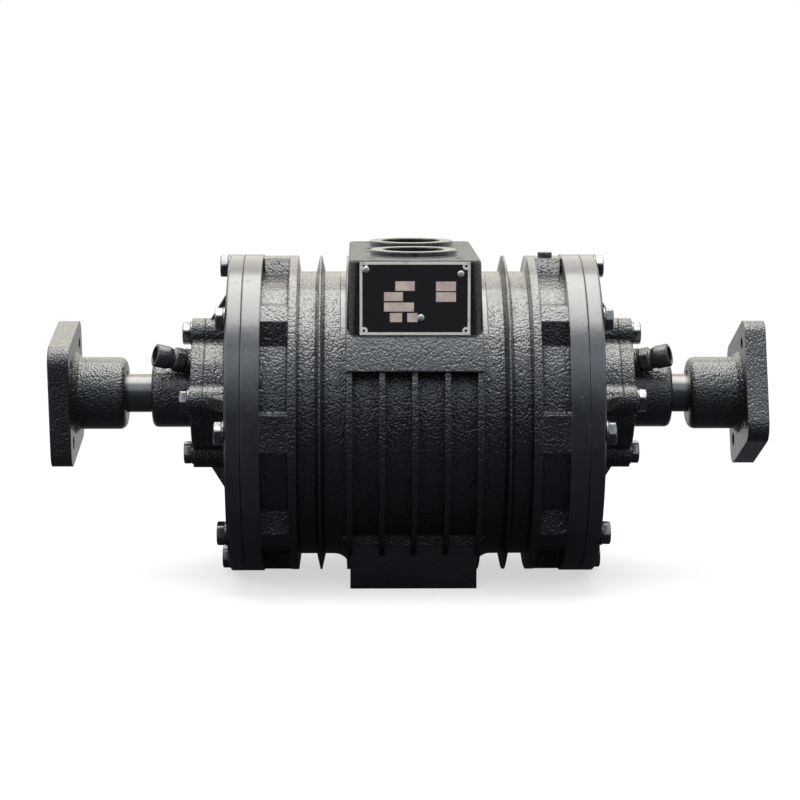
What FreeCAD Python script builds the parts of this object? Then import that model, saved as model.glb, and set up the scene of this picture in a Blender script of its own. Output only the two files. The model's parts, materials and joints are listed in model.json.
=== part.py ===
import FreeCAD, Part
import math
import os

V = FreeCAD.Vector

# Sizes are in millimetres. The shaft runs along X, Z is up, and the origin is the centre of the foot's underside.

# Cylinder casting. The flange's radius sets the bore, the fins, the port block and the shaft's height.
flange_r = 145.0
half_length = 151.5
foot_lift = 3.0
flange_land = 30.0
wall = 14.5
fin_step = 1.0
flange_thickness = 16.3
bolt_boss_width = 34.0
bolt_boss_step = 2.0
bolt_boss_sink = 4.0
corner_boss_wall = 12.0

# Cooling fins: bays between them, counted inwards from the flange
band_bay = 28.2
thin_bay = 24.0
end_bays = 49.7
ribs_each_side = 2
rib_root = 6.4
rib_tip = 5.0
thin_fin_root = 8.0
thin_fin_tip = 1.6
band_fin_root = 11.0
band_fin_tip = 7.0

# Port block on top
block_length = 115.0
block_flare = 3.0
block_rise = 4.3
block_foot_rise = 54.0
block_skin = 2.5
block_corner_r = 7.0
block_edge_r = 2.5
port_side_wall = 63.0
port_ring_height = 5.0
port_ring_wall = 11.0
port_bore_r = 27.5
port_depth = 36.0
window_length = 96.0
window_width = 34.0
port_bolt_step = 0.5
port_bolt_depth = 20.0
port_tap_r = 4.25

# Foot block below
foot_length = 113.0
foot_side_step = 62.0
foot_blend_r = 15.0
foot_bolt_inset_x = 16.5
foot_bolt_inset_y = 20.0
foot_bolt_depth = 24.0

# Rotor, shaft and vanes
eccentricity = 18.0
sealing_gap = 0.3
end_gap = 0.3
vane_count = 4
vane_thickness = 9.0
vane_rest_depth = 1.7
slot_floor_wall = 10.7
slot_side_gap = 0.1
vane_seat_gap = 0.3
vane_tip_crown = 1.0
shaft_end_r = 17.5
journal_step = 2.5
neck_step = 2.5
core_step = 5.0
shaft_end_chamfer = 1.5
neck_gap = 0.5
rotor_key_width = 14.0
rotor_key_height = 9.0
rotor_key_length = 120.0
rotor_key_depth = 5.5
key_top_gap = 0.2

# End covers
cover_thickness = 13.5
cover_edge_chamfer = 1.5
gasket_thickness = 0.6
boss_wall = 12.0
boss_blend = 6.0
boss_length = 22.5
lug_r = 14.0
lug_step = 3.0
gusset_thickness = 11.0
gusset_rim_step = 29.0
rim_bolt_count = 8
rim_bolt_inset = 10.5
rim_thread_depth = 26.0
cover_thread_depth = 24.0

# Bearings
bearing_width = 18.0
bearing_section = 20.0
bearing_seat_wall = 14.9
race_wall = 4.5
race_lip = 1.9
race_lip_width = 2.6
roller_gap = 0.05
roller_bar = 2.2
roller_end_gap = 0.2
cage_wall = 2.6
cage_end_gap = 1.0
pocket_gap = 0.2

# Bearing covers
cap_gasket_thickness = 0.5
cap_thickness = 12.0
spigot_wall = 6.0
nose_length = 36.5
nose_wall = 5.25
nose_edge = 5.0
nose_lip = 4.0
cap_cavity_depth = 8.0
lip_hole_gap = 0.7
seal_section = 8.5
seal_width = 8.0
seal_gap = 0.05

# Hexagon bolts and plain washers
bolt_shank_r = 6.0
bolt_tap_r = 5.1
bolt_hole_r = 6.5
bolt_across_flats = 19.0
bolt_head = 7.2
rim_bolt_length = 38.0
cap_bolt_length = 34.0
washer_r = 11.0
washer_thickness = 1.8

# Couplings and their fastening
coupling_gap_left = 23.5
coupling_gap_right = 16.0
coupling_length = 66.0
hub_wall = 15.5
hub_edge = 7.0
hub_blend = 5.0
plate_size = 113.0
plate_thickness = 19.0
plate_corner_r = 16.0
plate_hole_inset = 20.5
plate_hole_r_left = 6.0
plate_hole_r_right = 6.5
clock_left = 10.0
clock_right = -22.0
recess_step = 6.0
recess_depth = 11.0
hub_key_width = 10.0
hub_key_height = 8.0
hub_key_depth = 5.0
hub_key_inset = 8.0
hub_key_end_gap = 4.0
end_washer_step = 4.5
end_washer_thickness = 4.0
end_bolt_r = 5.0
end_bolt_length = 26.0
end_bolt_across_flats = 16.0
end_bolt_head = 6.4

# Oil hose nipples
nipple_offset_y = -27.0
nipple_offset_z = 32.5
nipple_forward = 20.0
nipple_up = 15.0
nipple_stand = 6.5
nipple_boss_r = 12.0
nipple_shank_r = 6.5
nipple_shank_length = 10.0
nipple_washer_r = 10.5
nipple_washer_thickness = 1.5
nipple_across_flats = 20.0
nipple_hex = 8.5
nipple_neck_r = 9.0
nipple_end_r = 10.5
nipple_barrel = 18.0
nipple_land = 10.0
nipple_end_chamfer = 1.5
nipple_bore_r = 7.3
nipple_oilway_r = 3.5

# Nameplate and top plug
nameplate_side_gap = 9.5
nameplate_height = 63.5
nameplate_thickness = 0.8
nameplate_drop = 1.5
nameplate_foot_gap = 1.1845
nameplate_hole_r = 1.2
nameplate_hole_inset = 3.7
left_rivet_inset = 5.4
left_rivet_drop = 6.5
right_rivet_inset = 8.3
right_rivet_drop = 10.4
low_rivet_shift = 5.2
low_rivet_rise = 15.1
rivet_r = 1.6
rivet_head_r = 3.0
rivet_head = 1.4
rivet_length = 8.0
plug_r = 5.0
plug_depth = 10.0
plug_head_r = 6.5
plug_head = 4.5
plug_socket_flats = 5.0

# Radii and heights that follow from the sizes above
centre_height = flange_r + foot_lift
bore_r = flange_r - flange_land
wall_r = bore_r + wall
fin_r = flange_r - fin_step
bolt_boss_r = flange_r - bolt_boss_step
rim_bolt_circle_r = flange_r - rim_bolt_inset
block_shoulder_r = fin_r + block_skin
nameplate_low_rise = flange_r + block_rise - nameplate_drop - nameplate_height
block_width = 2 * (math.sqrt(block_shoulder_r ** 2 - nameplate_low_rise ** 2) + nameplate_foot_gap)
block_top_z = centre_height + flange_r + block_rise
port_spacing = block_width - 2 * port_side_wall
port_ring_r = port_bore_r + port_ring_wall
port_bolt_spacing = 2 * (port_ring_r - port_bolt_step)
corner_boss_half = rim_bolt_circle_r * math.sqrt(0.5) + corner_boss_wall
foot_width = 2 * (flange_r - foot_side_step)
foot_bolt_spacing_x = foot_length - 2 * foot_bolt_inset_x
foot_bolt_spacing_y = foot_width - 2 * foot_bolt_inset_y
shaft_z = centre_height + eccentricity
rotor_r = bore_r - eccentricity - sealing_gap
journal_r = shaft_end_r + journal_step
shaft_neck_r = journal_r + neck_step
shaft_core_r = shaft_neck_r + core_step
slot_floor_r = shaft_core_r + slot_floor_wall
vane_height = rotor_r - slot_floor_r - vane_seat_gap - vane_rest_depth
bearing_r = journal_r + bearing_section
roller_r = (bearing_section - 2 * race_wall - 2 * roller_gap) / 2
pitch_r = (bearing_r + journal_r) / 2
roller_count = int(math.pi * pitch_r / (roller_r + roller_bar))
roller_length = bearing_width - 2 * race_lip_width - 2 * roller_end_gap
cage_width = bearing_width - 2 * cage_end_gap
boss_r = bearing_r + boss_wall
boss_root_r = boss_r + boss_blend
lug_circle_r = boss_r + lug_step
gusset_r = flange_r - eccentricity - gusset_rim_step
spigot_r = bearing_r - spigot_wall
seal_r = shaft_end_r + seal_section
nose_r = seal_r + nose_wall
hub_r = shaft_end_r + hub_wall
recess_r = shaft_end_r + recess_step
end_washer_r = shaft_end_r + end_washer_step
plate_hole_spacing = plate_size - 2 * plate_hole_inset
hub_key_length = coupling_length - recess_depth - hub_key_inset - hub_key_end_gap
nameplate_width = block_length - 2 * nameplate_side_gap

# Stations along the shaft that follow, as distances from the mid-plane
flange_x = half_length - flange_thickness
band_fin_x = flange_x - band_bay
thin_fin_x = band_fin_x - thin_bay
rib_pitch = (flange_x - end_bays) / (ribs_each_side + 1)
cover_x = half_length + gasket_thickness
rotor_half = cover_x - end_gap
disc_x = cover_x + cover_thickness
bearing_seat_x = cover_x + bearing_seat_wall
bearing_end_x = bearing_seat_x + bearing_width
boss_x = disc_x + boss_length
cap_x = boss_x + cap_gasket_thickness
cap_face_x = cap_x + cap_thickness
nose_x = cap_face_x + nose_length
coupling_gap = {-1: coupling_gap_left, 1: coupling_gap_right}
clocking = {-1: clock_left, 1: clock_right}
plate_hole_r = {-1: plate_hole_r_left, 1: plate_hole_r_right}
side_name = {-1: "left", 1: "right"}

os.makedirs("parts", exist_ok=True)


def save(name, shape):
    """Write one node's solids."""
    shape.exportStep("parts/" + name + ".step")


def rod(x0, x1, r, y=0.0, z=0.0):
    """A round bar along X between two stations."""
    return Part.makeCylinder(r, abs(x1 - x0), V(min(x0, x1), y, z), V(1, 0, 0))


def tube(x0, x1, outer, inner, z):
    """A round ring along X."""
    return rod(x0, x1, outer, 0, z).cut(rod(x0, x1, inner, 0, z))


def turned(points, z, side=1):
    """A solid turned about the X line at height z, from (distance from the mid-plane, radius) corners."""
    corners = [V(side * x, 0, z + r) for x, r in points]
    outline = Part.makePolygon(corners + corners[:1])
    return Part.Face(outline).revolve(V(0, 0, z), V(1, 0, 0), 360)


def flat_block(x0, x1, y0, y1, z0, z1):
    """A plain block between two corners."""
    low = V(min(x0, x1), min(y0, y1), min(z0, z1))
    return Part.makeBox(abs(x1 - x0), abs(y1 - y0), abs(z1 - z0), low)


def hexagon(across, x0, x1, y, z):
    """A hexagonal bar along X, one flat facing up."""
    corner = across / math.sqrt(3)
    ring = [math.radians(60 * k) for k in range(7)]
    outline = Part.makePolygon([V(min(x0, x1), y + corner * math.cos(a), z + corner * math.sin(a)) for a in ring])
    return Part.Face(outline).extrude(V(abs(x1 - x0), 0, 0))


def circle_places(count, radius, z, first=90.0):
    """Points (y, z) evenly spaced on a circle about the X line at height z."""
    angles = [math.radians(first + 360.0 * k / count) for k in range(count)]
    return [(radius * math.cos(a), z + radius * math.sin(a)) for a in angles]


def spun(shape, angle, z):
    """A copy turned about the X line at height z."""
    copy = shape.copy()
    copy.rotate(V(0, 0, z), V(1, 0, 0), angle)
    return copy


def joined(shapes):
    """One solid from several that meet."""
    return shapes[0].multiFuse(shapes[1:]).removeSplitter()


def rounded_end(shape, x, r):
    """Round the corner round a turned end face at station x."""
    rims = [e for e in shape.Edges if isinstance(e.Curve, Part.Circle) and abs(e.BoundBox.XMin - x) < 0.01]
    return shape.makeFillet(r, [e for e in rims if e.BoundBox.XLength < 0.01])


def rim_places():
    return circle_places(rim_bolt_count, rim_bolt_circle_r, centre_height)


def cap_places():
    return circle_places(4, lug_circle_r, shaft_z)


def screw(x_head, side, length, y, z):
    """A hexagon bolt whose head bears at x_head and whose shank runs back towards the mid-plane."""
    head = hexagon(bolt_across_flats, x_head, x_head + side * bolt_head, y, z)
    return head.fuse(rod(x_head, x_head - side * length, bolt_shank_r, y, z))


def fin(x, root, tip):
    """Outline corners of one tapered fin, from its near side to its far side."""
    return [(x - root / 2, wall_r), (x - tip / 2, fin_r), (x + tip / 2, fin_r), (x + root / 2, wall_r)]


# The cylinder's outline in section: ribs, thin fins, the two band fins and the flanges.
right_outline = []
for step in range(1, ribs_each_side + 1):
    right_outline += fin(step * rib_pitch, rib_root, rib_tip)
right_outline += fin(thin_fin_x, thin_fin_root, thin_fin_tip)
right_outline += fin(band_fin_x, band_fin_root, band_fin_tip)
right_outline += [(flange_x, wall_r), (flange_x, flange_r), (half_length, flange_r)]
left_outline = [(-x, r) for x, r in reversed(right_outline)]
ends = [(half_length, bore_r), (-half_length, bore_r)]
housing = turned(left_outline + fin(0, rib_root, rib_tip) + right_outline + ends, centre_height)

# The foot is blended into the plain wall before the ribs are added.
core = rod(-flange_x, flange_x, wall_r, 0, centre_height)
foot = flat_block(-foot_length / 2, foot_length / 2, -foot_width / 2, foot_width / 2, 0, centre_height)
footed = core.fuse(foot)
seams = []
for edge in footed.Edges:
    box = edge.BoundBox
    on_side = box.XLength < 0.01 and abs(abs(box.XMin) - foot_length / 2) < 0.01
    if on_side and isinstance(edge.Curve, Part.Circle) and box.ZMin < centre_height - bore_r:
        seams.append(edge)
footed = footed.makeFillet(foot_blend_r, seams)

# The port block widens slightly downwards, and on both sides its lower part follows the fins' outer circle.
low_z = centre_height + block_foot_rise
half_top = block_length / 2
half_low = half_top + block_flare
section = [V(-half_low, 0, low_z), V(half_low, 0, low_z), V(half_top, 0, block_top_z), V(-half_top, 0, block_top_z)]
block = Part.Face(Part.makePolygon(section + section[:1])).extrude(V(0, block_width, 0))
block.translate(V(0, -block_width / 2, 0))
uprights = [e for e in block.Edges if e.BoundBox.ZLength > 1 and e.BoundBox.YLength < 0.01]
block = block.makeFillet(block_corner_r, uprights)
rim = [e for e in block.Edges if e.BoundBox.ZMin > block_top_z - 0.01]
block = block.makeFillet(block_edge_r, rim)
shoulder = Part.Face(Part.makePolygon(section + section[:1])).extrude(V(0, 4 * fin_r, 0))
shoulder.translate(V(0, -2 * fin_r, 0))
shoulder = shoulder.common(rod(-half_low, half_low, block_shoulder_r, 0, centre_height))

# Bosses behind each flange take the rim bolts: flat bars at the top, bottom, front and back, and the
# corners of a square between them.
boss_bar = flat_block(band_fin_x, flange_x + 1, -bolt_boss_width / 2, bolt_boss_width / 2,
                      wall_r - bolt_boss_sink, bolt_boss_r)
boss_bar.translate(V(0, 0, centre_height))
bosses = []
for number in range(4):
    right_boss = spun(boss_bar, 90.0 * number, centre_height)
    bosses += [right_boss, right_boss.mirror(V(0, 0, 0), V(1, 0, 0))]
corner_bar = flat_block(band_fin_x, flange_x + 1, -corner_boss_half, corner_boss_half,
                        centre_height - corner_boss_half, centre_height + corner_boss_half)
corner_bar = corner_bar.common(rod(band_fin_x, flange_x + 1, bolt_boss_r, 0, centre_height))
bosses += [corner_bar, corner_bar.mirror(V(0, 0, 0), V(1, 0, 0))]

port_rings = []
for y in (-port_spacing / 2, port_spacing / 2):
    port_rings.append(Part.makeCylinder(port_ring_r, port_ring_height + 1, V(0, y, block_top_z - 1)))

housing = housing.multiFuse([footed, block, shoulder] + bosses + port_rings)
housing = housing.cut(rod(-half_length, half_length, bore_r, 0, centre_height))

port_top_z = block_top_z + port_ring_height
cuts = []
for y in (-port_spacing / 2, port_spacing / 2):
    port_floor = V(0, y, port_top_z - port_depth)
    cuts.append(Part.makeCylinder(port_bore_r, port_depth, port_floor))
    window = flat_block(-window_length / 2, window_length / 2, -window_width / 2, window_width / 2,
                        centre_height + rotor_r / 2, port_top_z - port_depth)
    window.translate(V(0, y, 0))
    cuts.append(window)
    for dx in (-port_bolt_spacing / 2, port_bolt_spacing / 2):
        for dy in (-port_bolt_spacing / 2, port_bolt_spacing / 2):
            hole = Part.makeCylinder(port_tap_r, port_bolt_depth, V(dx, y + dy, block_top_z - port_bolt_depth))
            cuts.append(hole)
for dx in (-foot_bolt_spacing_x / 2, foot_bolt_spacing_x / 2):
    for dy in (-foot_bolt_spacing_y / 2, foot_bolt_spacing_y / 2):
        cuts.append(Part.makeCylinder(bolt_tap_r, foot_bolt_depth, V(dx, dy, 0)))
for side in (-1, 1):
    for y, z in rim_places():
        cuts.append(rod(side * half_length, side * (half_length - rim_thread_depth), bolt_shank_r, y, z))

# The nameplate sits on the block's front face on three rivets, with a small hole in each corner, and a
# small plug closes a tapping on top of the right-hand band.
plate_face_y = -block_width / 2
plate_top_z = block_top_z - nameplate_drop
plate_low_z = plate_top_z - nameplate_height
nameplate = flat_block(-nameplate_width / 2, nameplate_width / 2, plate_face_y - nameplate_thickness, plate_face_y,
                       plate_low_z, plate_top_z)
plate_front_y = plate_face_y - nameplate_thickness
hole_x = nameplate_width / 2 - nameplate_hole_inset
for x in (-hole_x, hole_x):
    for z in (plate_low_z + nameplate_hole_inset, plate_top_z - nameplate_hole_inset):
        hole = Part.makeCylinder(nameplate_hole_r, nameplate_thickness, V(x, plate_front_y, z), V(0, 1, 0))
        nameplate = nameplate.cut(hole)
rivets = []
rivet_places = [(-nameplate_width / 2 + left_rivet_inset, plate_top_z - left_rivet_drop),
                (nameplate_width / 2 - right_rivet_inset, plate_top_z - right_rivet_drop),
                (low_rivet_shift, plate_low_z + low_rivet_rise)]
for x, z in rivet_places:
    shank = Part.makeCylinder(rivet_r, rivet_length, V(x, plate_front_y, z), V(0, 1, 0))
    head = Part.makeCone(rivet_head_r, rivet_head_r / 2, rivet_head, V(x, plate_front_y, z), V(0, -1, 0))
    rivets.append(shank.fuse(head))
    nameplate = nameplate.cut(shank)
    cuts.append(shank)
plug_x = (band_fin_x + flange_x) / 2
plug_base = V(plug_x, 0, centre_height + bolt_boss_r)
plug = Part.makeCylinder(plug_head_r, plug_head, plug_base)
plug = plug.fuse(Part.makeCylinder(plug_r, plug_depth, plug_base, V(0, 0, -1)))
socket = hexagon(plug_socket_flats, 0, plug_head, 0, 0)
socket.rotate(V(0, 0, 0), V(0, 1, 0), -90)
socket.translate(plug_base + V(0, 0, 1))
plug = plug.cut(socket)
cuts.append(Part.makeCylinder(plug_r, plug_depth, plug_base, V(0, 0, -1)))

housing = housing.cut(Part.makeCompound(cuts)).removeSplitter()
save("cylinder_housing", housing)
save("nameplate", nameplate)
save("nameplate_rivets", Part.makeCompound(rivets))
save("top_plug", plug)

# The rotor with its radial slots, and the vanes pushed down into them.
slot_bar = flat_block(-rotor_half, rotor_half, -vane_thickness / 2 - slot_side_gap, vane_thickness / 2 + slot_side_gap,
                      slot_floor_r, rotor_r * 2)
slot_bar.translate(V(0, 0, shaft_z))
tip_r = slot_floor_r + vane_seat_gap + vane_height
vane_low = slot_floor_r + vane_seat_gap
half_vane = vane_thickness / 2
low_edge = Part.makePolygon([V(0, -half_vane, tip_r - vane_tip_crown), V(0, -half_vane, vane_low),
                             V(0, half_vane, vane_low), V(0, half_vane, tip_r - vane_tip_crown)])
crown = Part.Arc(V(0, half_vane, tip_r - vane_tip_crown), V(0, 0, tip_r), V(0, -half_vane, tip_r - vane_tip_crown))
vane_outline = Part.Wire(low_edge.Edges + [crown.toShape()])
vane = Part.Face(vane_outline).extrude(V(2 * rotor_half, 0, 0))
vane.translate(V(-rotor_half, 0, shaft_z))
rotor_key = flat_block(-rotor_key_length / 2, rotor_key_length / 2, -rotor_key_width / 2, rotor_key_width / 2,
                       shaft_core_r - rotor_key_depth, shaft_core_r - rotor_key_depth + rotor_key_height)
rotor_key.translate(V(0, 0, shaft_z))
rotor_keyway = flat_block(-rotor_half, rotor_half, -rotor_key_width / 2, rotor_key_width / 2,
                          0, shaft_core_r - rotor_key_depth + rotor_key_height + key_top_gap)
rotor_keyway.translate(V(0, 0, shaft_z))
rotor = tube(-rotor_half, rotor_half, rotor_r, shaft_core_r, shaft_z).cut(rotor_keyway)
for number in range(vane_count):
    angle = 360.0 * (number + 0.5) / vane_count
    rotor = rotor.cut(spun(slot_bar, angle, shaft_z))
    save("vane_" + str(number + 1), spun(vane, angle, shaft_z))
save("rotor", rotor)
save("rotor_key", rotor_key)

# The shaft is turned in one piece, with a keyway under the rotor and one at each end.
shaft_end = {}
for side in (-1, 1):
    shaft_end[side] = nose_x + coupling_gap[side] + coupling_length - recess_depth
half_outline = {}
for side in (-1, 1):
    end = shaft_end[side]
    half_outline[side] = [(rotor_half, shaft_core_r), (rotor_half, shaft_neck_r), (bearing_seat_x, shaft_neck_r),
                          (bearing_seat_x, journal_r), (bearing_end_x + 1, journal_r), (bearing_end_x + 1, shaft_end_r),
                          (end - shaft_end_chamfer, shaft_end_r), (end, shaft_end_r - shaft_end_chamfer)]
left_steps = [(-x, r) for x, r in half_outline[-1]]
shaft = turned([(-shaft_end[-1], 0)] + left_steps[::-1] + half_outline[1] + [(shaft_end[1], 0)], shaft_z)
shaft = shaft.cut(rotor_key)

for side in (-1, 1):
    name = side_name[side]

    # Flange gasket and end cover, whose bearing boss stands off the cylinder's axis.
    rim_holes = Part.makeCompound([rod(side * half_length, side * disc_x, bolt_hole_r, y, z) for y, z in rim_places()])
    gasket = tube(side * half_length, side * cover_x, flange_r - 1, bore_r, centre_height).cut(rim_holes)
    save(name + "_cover_gasket", gasket)
    disc = turned([(cover_x, 0), (cover_x, flange_r), (disc_x - cover_edge_chamfer, flange_r),
                   (disc_x, flange_r - cover_edge_chamfer), (disc_x, 0)], centre_height, side)
    boss = turned([(cover_x + 1, 0), (cover_x + 1, boss_root_r), (disc_x, boss_root_r),
                   (disc_x + boss_root_r - boss_r, boss_r), (boss_x, boss_r), (boss_x, 0)], shaft_z, side)
    lugs = [rod(side * (disc_x - 1), side * boss_x, lug_r, y, z) for y, z in cap_places()]
    corners = [V(side * (disc_x - 1), 0, boss_r - 5), V(side * (disc_x - 1), 0, gusset_r), V(side * disc_x, 0, gusset_r),
               V(side * (boss_x - 2), 0, lug_circle_r + lug_r - 4), V(side * (boss_x - 2), 0, boss_r - 5)]
    gusset = Part.Face(Part.makePolygon(corners + corners[:1])).extrude(V(0, gusset_thickness, 0))
    gusset.translate(V(0, -gusset_thickness / 2, shaft_z))
    gussets = [spun(gusset, 90.0 * k, shaft_z) for k in range(4)]
    cover = joined([disc, boss] + lugs + gussets)
    cover = cover.cut(rod(side * cover_x, side * bearing_seat_x, shaft_neck_r + neck_gap, 0, shaft_z))
    cover = cover.cut(rod(side * bearing_seat_x, side * boss_x, bearing_r, 0, shaft_z))
    tappings = [rod(side * boss_x, side * (boss_x - cover_thread_depth), bolt_shank_r, y, z) for y, z in cap_places()]
    cover = cover.cut(rim_holes).cut(Part.makeCompound(tappings))
    save(name + "_end_cover", cover)

    # Roller bearing: outer race in the cover, inner race on the shaft, rollers in a cage between them.
    track = bearing_r - race_wall
    low, high = bearing_seat_x, bearing_end_x
    outer_race = turned([(low, bearing_r), (high, bearing_r), (high, track - race_lip), (high - race_lip_width, track - race_lip),
                         (high - race_lip_width, track), (low + race_lip_width, track),
                         (low + race_lip_width, track - race_lip), (low, track - race_lip)], shaft_z, side)
    save(name + "_bearing_outer_race", outer_race)
    inner_race = tube(side * low, side * high, journal_r + race_wall, journal_r, shaft_z)
    save(name + "_bearing_inner_race", inner_race)
    middle = (low + high) / 2
    cage = tube(side * (middle - cage_width / 2), side * (middle + cage_width / 2),
                pitch_r + cage_wall / 2, pitch_r - cage_wall / 2, shaft_z)
    rollers = []
    for y, z in circle_places(roller_count, pitch_r, shaft_z):
        rollers.append(rod(side * (middle - roller_length / 2), side * (middle + roller_length / 2), roller_r, y, z))
    pocket = flat_block(middle - roller_length / 2 - pocket_gap, middle + roller_length / 2 + pocket_gap,
                        -roller_r - pocket_gap, roller_r + pocket_gap, 0, pitch_r * 2)
    pocket.translate(V(0, 0, shaft_z))
    if side < 0:
        pocket = pocket.mirror(V(0, 0, 0), V(1, 0, 0))
    pockets = [spun(pocket, 360.0 * k / roller_count, shaft_z) for k in range(roller_count)]
    save(name + "_bearing_cage", cage.cut(Part.makeCompound(pockets)))
    save(name + "_bearing_rollers", Part.makeCompound(rollers))

    # Bearing cover: lugged flange, spigot against the outer race, and a nose that holds the shaft seal.
    cap_holes = Part.makeCompound([rod(side * boss_x, side * cap_face_x, bolt_hole_r, y, z) for y, z in cap_places()])
    ring = rod(side * boss_x, side * cap_x, boss_r, 0, shaft_z)
    ears = [rod(side * boss_x, side * cap_x, lug_r, y, z) for y, z in cap_places()]
    cap_gasket = joined([ring] + ears).cut(rod(side * boss_x, side * cap_x, bearing_r, 0, shaft_z)).cut(cap_holes)
    save(name + "_cap_gasket", cap_gasket)
    cap_body = turned([(bearing_end_x, 0), (bearing_end_x, bearing_r), (cap_x, bearing_r), (cap_x, boss_r),
                       (cap_face_x - 1, boss_r), (cap_face_x, boss_r - 1), (cap_face_x, nose_r + 2),
                       (cap_face_x + 2, nose_r), (nose_x, nose_r), (nose_x, 0)], shaft_z, side)
    cap_body = rounded_end(cap_body, side * nose_x, nose_edge)
    cap_lugs = [rod(side * cap_x, side * cap_face_x, lug_r, y, z) for y, z in cap_places()]

    # The nipple leans outwards, up and forwards from a small boss on the flange's face.
    lean = V(side, -math.tan(math.radians(nipple_forward)), math.tan(math.radians(nipple_up)))
    lean.normalize()
    seat = V(side * (cap_face_x + nipple_stand), nipple_offset_y, shaft_z + nipple_offset_z)
    nipple_boss = Part.makeCylinder(nipple_boss_r, nipple_stand + cap_thickness * 0.6, seat, -lean)
    cavity_x = nose_x - nose_lip
    cavity = turned([(bearing_end_x, 0), (bearing_end_x, spigot_r), (cap_x + cap_cavity_depth, spigot_r),
                     (cap_x + cap_cavity_depth + spigot_r - seal_r, seal_r), (cavity_x, seal_r), (cavity_x, 0)],
                    shaft_z, side)
    cap = joined([cap_body, nipple_boss] + cap_lugs).cut(cavity)
    cap = cap.cut(rod(side * cavity_x, side * nose_x, shaft_end_r + lip_hole_gap, 0, shaft_z)).cut(cap_holes)
    oilway = Part.makeCylinder(nipple_oilway_r, nipple_stand + cap_thickness * 1.3, seat, -lean)
    tapping = Part.makeCylinder(nipple_shank_r, nipple_shank_length, seat, -lean)
    save(name + "_bearing_cover", cap.cut(tapping).cut(oilway))
    seal = tube(side * cavity_x, side * (cavity_x - seal_width), seal_r, shaft_end_r + seal_gap, shaft_z)
    save(name + "_shaft_seal", seal)

    # Hose nipple, drawn upright at the origin and then laid on its seat.
    foot_z = nipple_washer_thickness
    hex_top = foot_z + nipple_hex
    tail_top = hex_top + nipple_barrel
    profile = [(0, foot_z - nipple_shank_length), (nipple_shank_r, foot_z - nipple_shank_length), (nipple_shank_r, foot_z + 1),
               (nipple_neck_r, foot_z + 1), (nipple_neck_r, hex_top + 2),
               (nipple_end_r, tail_top - nipple_end_chamfer - nipple_land), (nipple_end_r, tail_top - nipple_end_chamfer),
               (nipple_end_r - nipple_end_chamfer, tail_top), (nipple_bore_r, tail_top), (nipple_bore_r, hex_top),
               (nipple_oilway_r, hex_top), (nipple_oilway_r, foot_z - nipple_shank_length)]
    corners = [V(r, 0, z) for r, z in profile[1:]]
    body = Part.Face(Part.makePolygon(corners + corners[:1])).revolve(V(0, 0, 0), V(0, 0, 1), 360)
    nut = hexagon(nipple_across_flats, 0, nipple_hex, 0, 0)
    nut.rotate(V(0, 0, 0), V(0, 1, 0), -90)
    nut.translate(V(0, 0, foot_z))
    nut = nut.cut(Part.makeCylinder(nipple_shank_r - 1, nipple_hex, V(0, 0, foot_z)))
    nipple = body.fuse(nut)
    nipple_washer = Part.makeCylinder(nipple_washer_r, nipple_washer_thickness)
    nipple_washer = nipple_washer.cut(Part.makeCylinder(nipple_shank_r, nipple_washer_thickness))
    for piece in (nipple, nipple_washer):
        piece.Placement = FreeCAD.Placement(seat, FreeCAD.Rotation(V(0, 0, 1), lean)).multiply(piece.Placement)
    save(name + "_oil_nipple", nipple)
    save(name + "_nipple_washer", nipple_washer)

    # Bolts and washers: eight round the rim and four on the bearing cover.
    rim_screws = [screw(side * (disc_x + washer_thickness), side, rim_bolt_length, y, z) for y, z in rim_places()]
    cap_screws = [screw(side * (cap_face_x + washer_thickness), side, cap_bolt_length, y, z) for y, z in cap_places()]
    save(name + "_rim_bolts", Part.makeCompound(rim_screws))
    save(name + "_cap_bolts", Part.makeCompound(cap_screws))
    washer_sets = {"_rim_washers": (disc_x, rim_places()), "_cap_washers": (cap_face_x, cap_places())}
    for label, (x, places) in washer_sets.items():
        washers = []
        for y, z in places:
            blank = rod(side * x, side * (x + washer_thickness), washer_r, y, z)
            washers.append(blank.cut(rod(side * x, side * (x + washer_thickness), bolt_hole_r, y, z)))
        save(name + label, Part.makeCompound(washers))

    # Coupling: round hub and square plate with rounded corners, keyed to the shaft's end and held by a
    # bolt and washer in a recess.
    hub_x = nose_x + coupling_gap[side]
    face_x = hub_x + coupling_length
    plate_x = face_x - plate_thickness
    hub = turned([(hub_x, 0), (hub_x, hub_r), (plate_x - hub_blend, hub_r), (plate_x, hub_r + hub_blend),
                  (plate_x + 1, hub_r + hub_blend), (plate_x + 1, 0)], shaft_z, side)
    hub = rounded_end(hub, side * hub_x, hub_edge)
    half_plate = plate_size / 2
    plate = flat_block(side * plate_x, side * face_x, -half_plate, half_plate, shaft_z - half_plate, shaft_z + half_plate)
    plate = plate.makeFillet(plate_corner_r, [e for e in plate.Edges if e.BoundBox.XLength > 1])
    hole_shift = plate_hole_spacing / 2
    for y in (-hole_shift, hole_shift):
        for z in (-hole_shift, hole_shift):
            plate = plate.cut(rod(side * plate_x, side * face_x, plate_hole_r[side], y, shaft_z + z))
    coupling = hub.fuse(spun(plate, clocking[side], shaft_z))
    floor_x = face_x - recess_depth
    coupling = coupling.cut(rod(side * floor_x, side * face_x, recess_r, 0, shaft_z))
    coupling = coupling.cut(rod(side * hub_x, side * floor_x, shaft_end_r, 0, shaft_z))
    key_low = shaft_end_r - hub_key_depth
    key_x = hub_x + hub_key_inset
    key = flat_block(side * key_x, side * (key_x + hub_key_length), -hub_key_width / 2, hub_key_width / 2,
                     shaft_z + key_low, shaft_z + key_low + hub_key_height)
    keyway = flat_block(side * hub_x, side * floor_x, -hub_key_width / 2, hub_key_width / 2,
                        shaft_z, shaft_z + key_low + hub_key_height + key_top_gap)
    save(name + "_coupling", coupling.cut(keyway))
    save(name + "_coupling_key", key)
    shaft = shaft.cut(key)
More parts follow.
